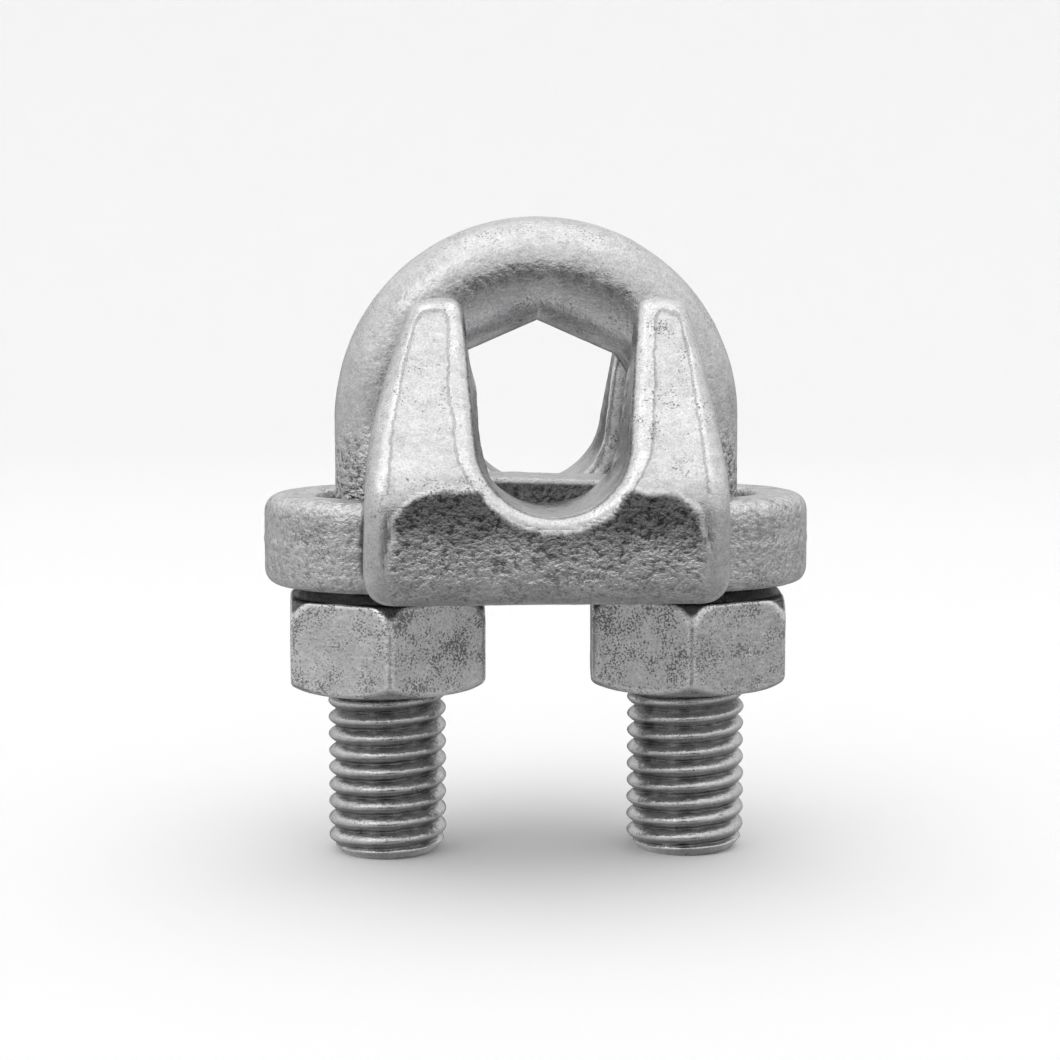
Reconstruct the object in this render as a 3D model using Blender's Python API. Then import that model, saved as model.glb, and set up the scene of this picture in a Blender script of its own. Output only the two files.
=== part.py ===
"""Wire rope clip for 19 mm rope: a threaded U-bolt, a forged saddle and two heavy hex nuts.

Metres, +Z up. The legs stand on z = 0, the bow is at the top and the rope runs along Y.
"""

import math

import bmesh
import bpy

MM = 0.001

# U-bolt: 5/8-11 UNC legs under a half-round bow of slightly thinner bar.
THREAD_D = 15.875 * MM
PITCH = 25.4 / 11 * MM
THREAD_DEPTH = 1.19 * MM
THREAD_TOP = 37.6 * MM
RUN_OUT = 1.5 * PITCH
LEG_TIP_D = 12.6 * MM
BAR_D = 13.5 * MM
LEG_X = 20.3 * MM
CLIP_HEIGHT = 85.6 * MM
BOW_Z = CLIP_HEIGHT - LEG_X - BAR_D / 2
BOW_STEPS = 28

# A thread is described over one pitch: half the crest flat and the start of the root flat.
CREST_HALF = 1 / 16
ROOT_START = 3 / 8
THREAD_PHASE = 0.45
AROUND = 24

# Nuts: heavy hex, with a steep chamfer at the saddle's end and a plain one below.
NUT_FLATS = 25.8 * MM
NUT_BOTTOM = 22.7 * MM
NUT_TOP = 36.5 * MM
NUT_TOP_FACE_D = 23.2 * MM
NUT_TOP_CHAMFER = math.radians(50)
NUT_BOTTOM_FACE_D = 24.8 * MM
NUT_BOTTOM_CHAMFER = math.radians(35)
NUT_THREAD_GAP = 0.35 * MM
NUT_BORE_D = 14.1 * MM
NUT_ROOT_D = 16.45 * MM
NUT_MOUTH_D = 16.9 * MM
LEFT_NUT_TURN = math.radians(2.2)
RIGHT_NUT_TURN = math.radians(-3.4)

# Saddle: a base with an ear round each leg, and four horns that hold the rope sideways.
SADDLE_BOTTOM = 36.8 * MM
EAR_TOP = 48.8 * MM
EAR_R = 16.2 * MM
EAR_ROUND = 3.2 * MM
EAR_ROUND_STEPS = 3
EAR_STEPS = 20
HOLE_D = 17.6 * MM
HOLE_STEPS = 32
SADDLE_HALF_LENGTH = 28.5 * MM
FACE_TOP = 51.5 * MM
HORN_TOP = 75.0 * MM
HORN_TIP_Y = 12.4 * MM
HORN_GAP = 9.1 * MM
HORN_ROUND = 1.6 * MM
HORN_ROUND_STEPS = 2
HORN_SIDE_STEPS = 5
HORN_SIDE_CURVE = 1.5
BASE_HALF_WIDTH = 23.0 * MM
SHOULDER_HALF_WIDTH = 22.7 * MM
TIP_HALF_WIDTH = 17.7 * MM
GROOVE_R = 9.5 * MM
GROOVE_BOTTOM = 48.1 * MM
GROOVE_TOP_HALF = 11.2 * MM
SEAT_STEPS = 16
BRIDGE_TOP = 51.0 * MM
BRIDGE_FOOT = 44.0 * MM
BRIDGE_HALF_LENGTH = 6.6 * MM
BRIDGE_HALF_WIDTH = 11.0 * MM
BRIDGE_SLANT = 0.35
BRIDGE_DRAFT = 0.7
BRIDGE_ROUND = 1.0 * MM
BRIDGE_ROUND_STEPS = 2
ROUNDED_EDGE_ANGLE = math.radians(40)
OVERCUT = 2.0 * MM


def clear_scene():
    for obj in list(bpy.data.objects):
        bpy.data.objects.remove(obj, do_unlink=True)


def zinc(name, grey, roughness):
    """Zinc-coated steel in one shade of grey."""
    material = bpy.data.materials.new(name)
    material.use_nodes = True
    surface = material.node_tree.nodes["Principled BSDF"]
    surface.inputs["Base Color"].default_value = (grey, grey, grey * 1.01, 1.0)
    surface.inputs["Roughness"].default_value = roughness
    surface.inputs["Metallic"].default_value = 1.0
    return material


def add_object(name, bm, location=(0, 0, 0), material=None, sharp_angle=35):
    """Turn a bmesh into an object, facing outward and smooth except at its sharp edges."""
    bmesh.ops.recalc_face_normals(bm, faces=bm.faces)
    mesh = bpy.data.meshes.new(name)
    bm.to_mesh(mesh)
    bm.free()
    obj = bpy.data.objects.new(name, mesh)
    obj.location = location
    bpy.context.scene.collection.objects.link(obj)
    mesh.shade_smooth()
    mesh.set_sharp_from_angle(angle=math.radians(sharp_angle))
    if material:
        mesh.materials.append(material)
    return obj


def add_helper(name, bm, location=(0, 0, 0)):
    """An object that only shapes another one."""
    helper = add_object(name, bm, location)
    helper.hide_render = True
    helper.display_type = "WIRE"
    return helper


# ---------------------------------------------------------------- threads


def flank_radius(phase):
    """Radius of the leg's thread at a phase between its crest and its root."""
    slope = THREAD_DEPTH / (ROOT_START - CREST_HALF)
    return THREAD_D / 2 - (phase - CREST_HALF) * slope


def flank_phase(radius):
    """Phase at which the leg's flank has this radius."""
    slope = THREAD_DEPTH / (ROOT_START - CREST_HALF)
    return CREST_HALF + (THREAD_D / 2 - radius) / slope


def leg_thread_rows():
    """One pitch of the leg's thread, from root up over the crest: (phase, radius)."""
    crest = THREAD_D / 2
    root = flank_radius(ROOT_START)
    return [
        (-ROOT_START, root),
        (-CREST_HALF, crest),
        (CREST_HALF, crest),
        (ROOT_START, root),
    ]


def nut_thread_rows():
    """One pitch of the nut's thread, from root to root, standing off the leg's by the thread gap."""
    bore = NUT_BORE_D / 2
    root = NUT_ROOT_D / 2
    bore_phase = flank_phase(bore - NUT_THREAD_GAP)
    root_phase = flank_phase(root - NUT_THREAD_GAP)
    return [
        (root_phase, root),
        (bore_phase, bore),
        (1 - bore_phase, bore),
        (1 - root_phase, root),
    ]


def helical_wall(bm, rows, low, high, shape, floor=0.0):
    """A right-hand threaded wall between two flat rings at heights low and high.

    Every row of vertices climbs one pitch in a turn, so a full turn on, row k is row k + len(rows).
    shape(radius, z) gives the final radius. Heights in the mesh are measured from floor.
    Returns the bottom and the top ring.
    """
    per_turn = len(rows)
    first_phase = rows[0][0]
    start_turn = math.ceil(low / PITCH - THREAD_PHASE - first_phase)
    turns = math.floor((high / PITCH - THREAD_PHASE - rows[-1][0]) - start_turn)
    count = turns * per_turn

    def corner(column, z, radius):
        angle = 2 * math.pi * column / AROUND
        radius = shape(radius, z)
        return bm.verts.new((radius * math.cos(angle), radius * math.sin(angle), z - floor))

    columns = []
    for column in range(AROUND):
        length = count + per_turn if column == 0 else count
        line = []
        for row in range(length):
            phase, radius = rows[row % per_turn]
            turn = start_turn + row // per_turn + column / AROUND
            line.append(corner(column, (THREAD_PHASE + phase + turn) * PITCH, radius))
        columns.append(line)
    columns.append(columns[0][per_turn:])

    flat_radius = rows[0][1]
    bottom = [corner(column, low, flat_radius) for column in range(AROUND)]
    top = [corner(column, high, flat_radius) for column in range(AROUND)]

    for left, right in zip(columns, columns[1:]):
        for row in range(count - 1):
            bm.faces.new((left[row], right[row], right[row + 1], left[row + 1]))
    for column in range(AROUND - 1):
        bm.faces.new(
            (bottom[column], bottom[column + 1], columns[column + 1][0], columns[column][0])
        )
    for column in range(1, AROUND):
        upper = (top[(column + 1) % AROUND], top[column])
        bm.faces.new((columns[column][count - 1], columns[column + 1][count - 1], *upper))
    last = columns[AROUND - 1][0]
    fan(bm, last, [bottom[-1], bottom[0], *columns[0][: per_turn + 1]])
    turned = columns[0][count - 1 :]
    fan(bm, columns[1][count - 1], [top[1], top[0], *reversed(turned)])
    return bottom, top


def fan(bm, centre, rim):
    for first, second in zip(rim, rim[1:]):
        bm.faces.new((centre, first, second))


# ---------------------------------------------------------------- U-bolt


def leg_shape(radius, z):
    """The leg's end is chamfered, and its thread runs out into the plain bar."""
    chamfer = LEG_TIP_D / 2 + z
    blend = min(max((z - THREAD_TOP) / RUN_OUT, 0), 1)
    return min(chamfer, radius + (BAR_D / 2 - radius) * blend)


def threaded_leg(bm, side):
    """One leg, with its end closed. Returns the top ring."""
    before = set(bm.verts)
    top_z = THREAD_TOP + RUN_OUT + PITCH
    bottom, top = helical_wall(bm, leg_thread_rows(), 0, top_z, leg_shape)
    bm.faces.new(bottom)
    for vert in set(bm.verts) - before:
        vert.co.x += side * LEG_X
    return top


def bow_ring(bm, turn):
    """A ring of the bow at an angle from the left leg, matching the left leg's ring order."""
    ring = []
    for column in range(AROUND):
        around = 2 * math.pi * column / AROUND
        reach = LEG_X - BAR_D / 2 * math.cos(around)
        x = -reach * math.cos(turn)
        z = BOW_Z + reach * math.sin(turn)
        ring.append(bm.verts.new((x, BAR_D / 2 * math.sin(around), z)))
    return ring


def join_rings(bm, first, second):
    for column in range(len(first)):
        after = (column + 1) % len(first)
        bm.faces.new((first[column], first[after], second[after], second[column]))


def make_u_bolt():
    bm = bmesh.new()
    left = threaded_leg(bm, -1)
    right = threaded_leg(bm, 1)
    rings = [bow_ring(bm, math.pi * step / BOW_STEPS) for step in range(BOW_STEPS + 1)]
    mirrored = [right[(AROUND // 2 - column) % AROUND] for column in range(AROUND)]
    stations = [left, *rings, mirrored]
    for first, second in zip(stations, stations[1:]):
        join_rings(bm, first, second)
    return add_object("u_bolt", bm, material=zinc("zinc_bar", 0.60, 0.34))


# ---------------------------------------------------------------- nuts


def nut_shape(radius, z):
    """The bore opens into a countersink at each face."""
    depth = min(z - NUT_BOTTOM, NUT_TOP - z)
    return max(radius, NUT_MOUTH_D / 2 - depth)


def hex_ring(bm, turn, height, face_d, slope):
    """A ring round the hexagon where its chamfer ends. slope is the chamfer's rise towards the face."""
    ring = []
    for column in range(AROUND):
        angle = 2 * math.pi * column / AROUND
        off_flat = (angle + math.pi / 6) % (math.pi / 3) - math.pi / 6
        radius = NUT_FLATS / 2 / math.cos(off_flat)
        z = height - slope * (radius - face_d / 2)
        ring.append(
            bm.verts.new((radius * math.cos(angle + turn), radius * math.sin(angle + turn), z))
        )
    return ring


def face_ring(bm, turn, height, diameter):
    ring = []
    radius = diameter / 2
    for column in range(AROUND):
        angle = 2 * math.pi * column / AROUND + turn
        ring.append(bm.verts.new((radius * math.cos(angle), radius * math.sin(angle), height)))
    return ring


def make_nut(name, side, turn):
    """A nut whose origin is on its leg's axis, at its bottom face. A flat faces +X when turn is 0."""
    thickness = NUT_TOP - NUT_BOTTOM
    bm = bmesh.new()
    bottom, top = helical_wall(
        bm, nut_thread_rows(), NUT_BOTTOM, NUT_TOP, nut_shape, floor=NUT_BOTTOM
    )
    stations = [
        bottom,
        face_ring(bm, turn, 0, NUT_BOTTOM_FACE_D),
        hex_ring(bm, turn, 0, NUT_BOTTOM_FACE_D, -math.tan(NUT_BOTTOM_CHAMFER)),
        hex_ring(bm, turn, thickness, NUT_TOP_FACE_D, math.tan(NUT_TOP_CHAMFER)),
        face_ring(bm, turn, thickness, NUT_TOP_FACE_D),
        top,
    ]
    for first, second in zip(stations, stations[1:]):
        join_rings(bm, first, second)
    place = (side * LEG_X, 0, NUT_BOTTOM)
    return add_object(name, bm, place, zinc(f"zinc_{name}", 0.55, 0.42), sharp_angle=20)


# ---------------------------------------------------------------- saddle


def extruded(outline, direction):
    """A closed prism: the outline's points, pushed along direction."""
    bm = bmesh.new()
    face = bm.faces.new([bm.verts.new(point) for point in outline])
    pushed = bmesh.ops.extrude_face_region(bm, geom=[face])["geom"]
    moved = [item for item in pushed if isinstance(item, bmesh.types.BMVert)]
    bmesh.ops.translate(bm, verts=moved, vec=direction)
    return bm


def front_outline():
    """The saddle as seen along the rope: a wide base under sides that curve in to the tips."""
    right = [(BASE_HALF_WIDTH, SADDLE_BOTTOM), (SHOULDER_HALF_WIDTH, FACE_TOP)]
    for step in range(1, HORN_SIDE_STEPS + 1):
        share = step / HORN_SIDE_STEPS
        inset = (SHOULDER_HALF_WIDTH - TIP_HALF_WIDTH) * share**HORN_SIDE_CURVE
        right.append((SHOULDER_HALF_WIDTH - inset, FACE_TOP + (HORN_TOP - FACE_TOP) * share))
    outline = right + [(-x, z) for x, z in reversed(right)]
    return [(x, -SADDLE_HALF_LENGTH - OVERCUT, z) for x, z in outline]


def side_outline():
    """The saddle as seen across the rope: horns that lean back, with the bow's gap between them."""
    front = [
        (SADDLE_HALF_LENGTH, SADDLE_BOTTOM),
        (SADDLE_HALF_LENGTH, FACE_TOP),
        (HORN_TIP_Y, HORN_TOP),
        (HORN_GAP, HORN_TOP),
        (HORN_GAP, EAR_TOP),
    ]
    outline = front + [(-y, z) for y, z in reversed(front)]
    reach = BASE_HALF_WIDTH + OVERCUT
    return [(-reach, y, z) for y, z in outline]


def ear_outline():
    """Both ears in plan: a half circle round each leg, joined by straight sides."""
    outline = []
    for side in (1, -1):
        for step in range(EAR_STEPS + 1):
            angle = side * math.pi / 2 - side * math.pi * step / EAR_STEPS
            x = side * LEG_X + EAR_R * math.cos(angle) * side
            outline.append((x, EAR_R * math.sin(angle), SADDLE_BOTTOM))
    return outline


def groove_outline():
    """The rope's seat: a half round that opens a little towards the horns' tips."""
    seat_z = GROOVE_BOTTOM + GROOVE_R
    outline = []
    for step in range(SEAT_STEPS + 1):
        angle = math.pi + math.pi * step / SEAT_STEPS
        outline.append((GROOVE_R * math.cos(angle), seat_z + GROOVE_R * math.sin(angle)))
    rise = (HORN_TOP + OVERCUT - seat_z) / (HORN_TOP - seat_z)
    half = GROOVE_R + (GROOVE_TOP_HALF - GROOVE_R) * rise
    outline += [(half, HORN_TOP + OVERCUT), (-half, HORN_TOP + OVERCUT)]
    return [(x, -SADDLE_HALF_LENGTH - OVERCUT, z) for x, z in outline]


def bridge_outline():
    """The low bridge the rope is pressed on, seen across the rope: its sides slope down to the seat."""
    foot = BRIDGE_HALF_LENGTH + BRIDGE_DRAFT * (BRIDGE_TOP - BRIDGE_FOOT)
    outline = [
        (foot, BRIDGE_FOOT),
        (BRIDGE_HALF_LENGTH, BRIDGE_TOP),
        (-BRIDGE_HALF_LENGTH, BRIDGE_TOP),
        (-foot, BRIDGE_FOOT),
    ]
    shift = BRIDGE_SLANT * BRIDGE_HALF_WIDTH
    return [(-BRIDGE_HALF_WIDTH, y + shift, z) for y, z in outline]


def hole_cutter(name, side):
    bm = bmesh.new()
    height = EAR_TOP - SADDLE_BOTTOM + 2 * OVERCUT
    radius = HOLE_D / 2
    bmesh.ops.create_cone(
        bm, cap_ends=True, segments=HOLE_STEPS, radius1=radius, radius2=radius, depth=height
    )
    return add_helper(name, bm, (side * LEG_X, 0, (EAR_TOP + SADDLE_BOTTOM) / 2))


def add_boolean(obj, operation, other):
    modifier = obj.modifiers.new(f"{operation.lower()}_{other.name}", "BOOLEAN")
    modifier.operation = operation
    modifier.solver = "EXACT"
    modifier.object = other


def add_bevel(obj, width, segments):
    modifier = obj.modifiers.new("rounding", "BEVEL")
    modifier.width = width
    modifier.segments = segments
    modifier.limit_method = "ANGLE"
    modifier.angle_limit = ROUNDED_EDGE_ANGLE


def make_saddle():
    length = (0, 2 * (SADDLE_HALF_LENGTH + OVERCUT), 0)
    width = (2 * (BASE_HALF_WIDTH + OVERCUT), 0, 0)
    across = (2 * BRIDGE_HALF_WIDTH, -2 * BRIDGE_SLANT * BRIDGE_HALF_WIDTH, 0)
    saddle = add_object(
        "saddle", extruded(front_outline(), length), material=zinc("zinc_forging", 0.62, 0.38)
    )
    sides = add_helper("saddle_side_profile", extruded(side_outline(), width))
    ears = add_helper("saddle_ears", extruded(ear_outline(), (0, 0, EAR_TOP - SADDLE_BOTTOM)))
    groove = add_helper("saddle_groove", extruded(groove_outline(), length))
    bridge = add_helper("saddle_bridge", extruded(bridge_outline(), across))
    holes = [hole_cutter("saddle_hole_left", -1), hole_cutter("saddle_hole_right", 1)]
    add_bevel(ears, EAR_ROUND, EAR_ROUND_STEPS)
    add_bevel(bridge, BRIDGE_ROUND, BRIDGE_ROUND_STEPS)
    add_boolean(saddle, "INTERSECT", sides)
    add_bevel(saddle, HORN_ROUND, HORN_ROUND_STEPS)
    add_boolean(saddle, "UNION", ears)
    add_boolean(saddle, "DIFFERENCE", groove)
    add_boolean(saddle, "UNION", bridge)
    for hole in holes:
        add_boolean(saddle, "DIFFERENCE", hole)
    return saddle


def main():
    clear_scene()
    make_u_bolt()
    make_saddle()
    make_nut("nut_left", -1, LEFT_NUT_TURN)
    make_nut("nut_right", 1, RIGHT_NUT_TURN)


main()
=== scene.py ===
"""Looks of a wire rope clip: four finely modelled zinc-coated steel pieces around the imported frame.

The saddle and the nuts are solids described by distance formulas, meshed here as fine nets and then
given a forged or turned skin. The U-bolt is one swept tube with a rolled thread on each leg.
Lengths are millimetres until a mesh is made, in the frame's own axes: +Z up the legs, rope along Y.
"""

import itertools
import math

import bpy
import numpy as np
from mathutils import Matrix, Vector


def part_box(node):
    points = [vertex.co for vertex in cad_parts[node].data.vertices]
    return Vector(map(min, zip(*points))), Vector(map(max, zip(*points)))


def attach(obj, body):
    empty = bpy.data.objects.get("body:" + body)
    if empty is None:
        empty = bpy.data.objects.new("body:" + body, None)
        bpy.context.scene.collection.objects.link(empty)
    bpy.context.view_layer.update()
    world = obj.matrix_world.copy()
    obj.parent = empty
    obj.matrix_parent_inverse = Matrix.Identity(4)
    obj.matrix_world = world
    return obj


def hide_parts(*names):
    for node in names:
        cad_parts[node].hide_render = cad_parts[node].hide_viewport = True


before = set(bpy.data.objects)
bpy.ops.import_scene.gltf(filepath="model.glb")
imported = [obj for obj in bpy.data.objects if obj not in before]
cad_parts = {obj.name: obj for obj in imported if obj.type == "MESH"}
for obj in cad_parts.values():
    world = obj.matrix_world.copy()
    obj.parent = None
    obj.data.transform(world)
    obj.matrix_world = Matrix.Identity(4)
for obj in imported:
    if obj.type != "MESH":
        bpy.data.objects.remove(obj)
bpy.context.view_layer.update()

MM = 0.001


def box_mm(node):
    """A CAD node's lowest and highest corner, in millimetres."""
    return [np.array(corner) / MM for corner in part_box(node)]


# ---------------------------------------------------------------- sizes, partly from the frame

BOLT_LOW, BOLT_HIGH = box_mm("u_bolt")
SADDLE_LOW, SADDLE_HIGH = box_mm("saddle")
NUT_LOW, NUT_HIGH = box_mm("nut_left")

THREAD_R = (BOLT_HIGH[1] - BOLT_LOW[1]) / 2
LEG_X = BOLT_HIGH[0] - THREAD_R
PITCH = 25.4 / 11
THREAD_DEPTH = 1.19
THREAD_PHASE = 0.45
CREST_HALF = 1 / 16
ROOT_START = 3 / 8
THREAD_TOP = 37.6
RUN_OUT = 1.5 * PITCH
TIP_R = 6.3
BAR_R = 6.75
BOW_Z = BOLT_HIGH[2] - LEG_X - BAR_R

SADDLE_BOTTOM = SADDLE_LOW[2]
HORN_TOP = SADDLE_HIGH[2]
HALF_LENGTH = SADDLE_HIGH[1]
EAR_R = SADDLE_HIGH[0] - LEG_X
EAR_TOP = 48.8
FACE_TOP = 51.5
HORN_TIP_Y = 12.4
HORN_GAP = 9.1
BASE_HALF_WIDTH = 23.0
SHOULDER_HALF_WIDTH = 22.7
TIP_HALF_WIDTH = 17.7
HOLE_R = 8.8
GROOVE_R = 9.5
SEAT_Z = 57.6
GROOVE_TOP_HALF = 11.2

NUT_BOTTOM = NUT_LOW[2]
NUT_TOP = NUT_HIGH[2]
NUT_HALF_FLATS = 12.9
NUT_TOP_FACE_R = 11.6
NUT_SHOULDER_R = 13.3
NUT_SHOULDER_DROP = 1.3
NUT_BOTTOM_FACE_R = 12.4
NUT_BOTTOM_CHAMFER = math.radians(35)
NUT_THREAD_GAP = 0.9
NUT_BORE_R = 7.3
NUT_ROOT_R = 8.4
NUT_MOUTH_R = 8.7
LEFT_NUT_TURN = math.radians(2.2)
RIGHT_NUT_TURN = math.radians(-3.4)


# ---------------------------------------------------------------- noise

LATTICE = 32
LATTICE_SHIFT = 7.3
TILT_ABOUT_Z = 0.6
TILT_ABOUT_X = 0.9


def value_noise(points, size, seed):
    """Smooth noise from -1 to 1 at each point, with features of this size."""
    lattice = np.random.default_rng(seed).uniform(-1, 1, (LATTICE,) * 3)
    scaled = points / size + LATTICE_SHIFT
    cell = np.floor(scaled).astype(int)
    part = scaled - cell
    part = part * part * (3 - 2 * part)
    total = np.zeros(len(points))
    for corner in itertools.product((0, 1), repeat=3):
        weight = np.prod(np.where(corner, part, 1 - part), axis=1)
        i, j, k = ((cell + corner) % LATTICE).T
        total += weight * lattice[i, j, k]
    return total


def fractal(points, size, octaves, seed):
    """Noise with finer and fainter layers added, each half the size and half the strength."""
    turned = points @ TILT
    total = np.zeros(len(points))
    for octave in range(octaves):
        scale = 0.5**octave
        total += scale * value_noise(turned, size * scale, seed + octave)
    return total


def tilt_matrix():
    """A fixed skew turn, so that the noise's lattice doesn't line up with the part's faces."""
    cos_z, sin_z = math.cos(TILT_ABOUT_Z), math.sin(TILT_ABOUT_Z)
    cos_x, sin_x = math.cos(TILT_ABOUT_X), math.sin(TILT_ABOUT_X)
    about_z = np.array([[cos_z, -sin_z, 0], [sin_z, cos_z, 0], [0, 0, 1]])
    about_x = np.array([[1, 0, 0], [0, cos_x, -sin_x], [0, sin_x, cos_x]])
    return about_z @ about_x


TILT = tilt_matrix()


def ramp(value, start, end):
    """0 before start, 1 after end, smooth between."""
    share = np.clip((value - start) / (end - start), 0, 1)
    return share * share * (3 - 2 * share)


def bump_line(value, centre, width):
    """1 on a line, falling to 0 over its width."""
    return np.exp(-(((value - centre) / width) ** 2))


# ---------------------------------------------------------------- distance solids and their nets

NET_MARGIN = 2.37
SLOPE_STEP = 0.04
LEAST_SLOPE_SQUARED = 0.1
SETTLING_ROUNDS = 3


def smooth_max(a, b, reach):
    """The larger of two distances, rounded over this reach where they meet: a rounded outer edge."""
    blend = np.maximum(reach - np.abs(a - b), 0) / reach
    return np.maximum(a, b) + blend * blend * reach / 4


def smooth_min(a, b, reach):
    """The smaller of two distances, rounded where they meet: a filleted inner corner."""
    return -smooth_max(-a, -b, reach)


def crossings_along(field, axis):
    """Where the surface crosses the grid's edges that run along one axis.

    Gives each crossing's place, in grid steps, and the four cells round its edge, as a quad's corners.
    """
    across, along = (axis + 1) % 3, (axis + 2) % 3
    first = np.take(field, range(field.shape[axis] - 1), axis)
    second = np.take(field, range(1, field.shape[axis]), axis)
    where = np.nonzero((first < 0) != (second < 0))
    start = np.stack(where, axis=1)
    a, b = first[where], second[where]
    point = start.astype(float)
    point[:, axis] += a / (a - b)
    around = []
    for shift in ((-1, -1), (0, -1), (0, 0), (-1, 0)):
        cell = start.copy()
        cell[:, across] += shift[0]
        cell[:, along] += shift[1]
        around.append(np.ravel_multi_index(cell.T, np.array(field.shape) - 1))
    quads = np.stack(around, axis=1)
    quads[a > 0] = quads[a > 0][:, ::-1]
    return point, quads


def net_of(solid, low, high, step):
    """Vertices and quads of the surface where solid(x, y, z) is zero. It is negative inside.

    Every grid cell that the surface passes through has one vertex, amid the crossings of its edges, and
    every crossed edge has one quad. The margin isn't a whole number of steps, so that no flat face lies
    exactly on the grid's points.
    """
    margin = NET_MARGIN * step
    axes = [np.arange(low[i] - margin, high[i] + margin, step) for i in range(3)]
    field = solid(*np.meshgrid(*axes, indexing="ij", sparse=True))
    found = [crossings_along(field, axis) for axis in range(3)]
    quads = np.concatenate([cells for _, cells in found])
    crossings = np.repeat(np.concatenate([point for point, _ in found]), 4, axis=0)
    _, index = np.unique(quads.ravel(), return_inverse=True)
    count = np.bincount(index)
    vertices = np.stack([np.bincount(index, crossings[:, i]) / count for i in range(3)], axis=1)
    return vertices * step + [places[0] for places in axes], index.reshape(-1, 4)


def slope_of(solid, points):
    """The gradient of a distance solid at each point."""
    slope = np.empty_like(points)
    for axis in range(3):
        shift = np.zeros(3)
        shift[axis] = SLOPE_STEP
        slope[:, axis] = solid(*(points + shift).T) - solid(*(points - shift).T)
    return slope / (2 * SLOPE_STEP)


def settled(solid, points, step):
    """The points moved onto the solid's surface, and the outward normal at each."""
    for _ in range(SETTLING_ROUNDS):
        slope = slope_of(solid, points)
        value = solid(*points.T)
        move = value / np.maximum((slope**2).sum(axis=1), LEAST_SLOPE_SQUARED)
        points = points - slope * np.clip(move, -step, step)[:, None]
    slope = slope_of(solid, points)
    return points, slope / np.linalg.norm(slope, axis=1)[:, None]


# ---------------------------------------------------------------- meshes

TINY = 1e-12


def edges_of(faces):
    """Each pair of neighbouring vertices in a list of quads, both ways round."""
    pairs = np.concatenate([faces[:, [i, (i + 1) % 4]] for i in range(4)])
    return np.concatenate([pairs, pairs[:, ::-1]])


def smoothed(values, pairs, rounds):
    """Values at the vertices, averaged with their neighbours' a number of times."""
    count = np.maximum(np.bincount(pairs[:, 0], minlength=len(values)), 1)
    for _ in range(rounds):
        total = np.bincount(pairs[:, 0], values[pairs[:, 1]], minlength=len(values))
        values = (values + total / count) / 2
    return values


def bulge(points, normals, pairs, rounds):
    """How far each vertex stands out from its smoothed surroundings, in millimetres."""
    around = np.stack([smoothed(points[:, i], pairs, rounds) for i in range(3)], axis=1)
    return ((points - around) * normals).sum(axis=1)


def vertex_normals(points, faces):
    """Area-weighted normals at the vertices of a quad mesh."""
    across = points[faces[:, 2]] - points[faces[:, 0]]
    along = points[faces[:, 3]] - points[faces[:, 1]]
    flat = np.cross(across, along)
    normals = np.zeros_like(points)
    for i in range(4):
        for axis in range(3):
            normals[:, axis] += np.bincount(faces[:, i], flat[:, axis], minlength=len(points))
    return normals / np.maximum(np.linalg.norm(normals, axis=1), TINY)[:, None]


def make_piece(name, points, faces, values, material, body, node):
    """A smooth-shaded piece that stands for a CAD node. values holds one number per vertex by name."""
    mesh = bpy.data.meshes.new(name)
    mesh.from_pydata(points * MM, [], faces)
    for key, numbers in values.items():
        attribute = mesh.attributes.new(key, "FLOAT", "POINT")
        attribute.data.foreach_set("value", numbers.astype(np.float32))
    mesh.shade_smooth()
    mesh.materials.append(material)
    obj = bpy.data.objects.new(name, mesh)
    bpy.context.scene.collection.objects.link(obj)
    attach(obj, body)
    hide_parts(node)


# ---------------------------------------------------------------- saddle

SADDLE_STEP = 0.395
LEAN = math.atan2(HALF_LENGTH - HORN_TIP_Y, HORN_TOP - FACE_TOP)
HORN_SIDE_CURVE = 1.5
HORN_SHIFT = 0.9
HORN_SHIFT_FROM = 55
HORN_SHIFT_TO = 76
GROOVE_X = 0.8
GROOVE_SHIFT = 0.3
GAP_FLOOR = EAR_TOP - 1.2
DRAFT = 0.011
DRAFT_TOP = 46.5
PARTING_Z = (SADDLE_BOTTOM + EAR_TOP) / 2
BRIDGE_TOP = 51.0
BRIDGE_FOOT = SADDLE_BOTTOM + 2
BRIDGE_HALF_LENGTH = 6.6
BRIDGE_HALF_WIDTH = 11.0
BRIDGE_SLANT = 0.35
BRIDGE_DRAFT = 0.7
PANEL_LIP = 1.7
PANEL_RIM = 2.9
PANEL_TOP = HORN_TOP - 1.6
LAY_Y = 8.0
LAY_SPACING = 23.0

# How widely the saddle's outer edges and its inner corners are rounded.
BASE_EDGE = 4.4
END_EDGE = 2.0
SIDE_EDGE = 3.2
TIP_EDGE = 2.0
GAP_EDGE = 1.6
GAP_CORNER = 3.0
EAR_TOP_EDGE = 2.7
EAR_BOTTOM_EDGE = 2.3
EAR_CORNER = 1.0
BOTTOM_EDGE = 0.4
GROOVE_EDGE = 2.2
HOLE_EDGE = 1.8
BRIDGE_SIDE_EDGE = 2.0
BRIDGE_TOP_EDGE = 1.4
BRIDGE_FOOT_EDGE = 1.0
BRIDGE_CORNER = 0.8

# How high or deep each layer of the saddle's skin is.
SADDLE_WAVE = 0.09
SADDLE_DIMPLE = 0.03
CRUST_DEPTH = 0.15
PIT_DEPTH = 0.20
PANEL_DEPTH = 0.18
PANEL_DIMPLE = 0.045
PARTING_HEIGHT = 0.10
LAY_HEIGHT = 0.9
LAY_SINK = 0.3
SEAT_GRAIN = 0.10


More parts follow.
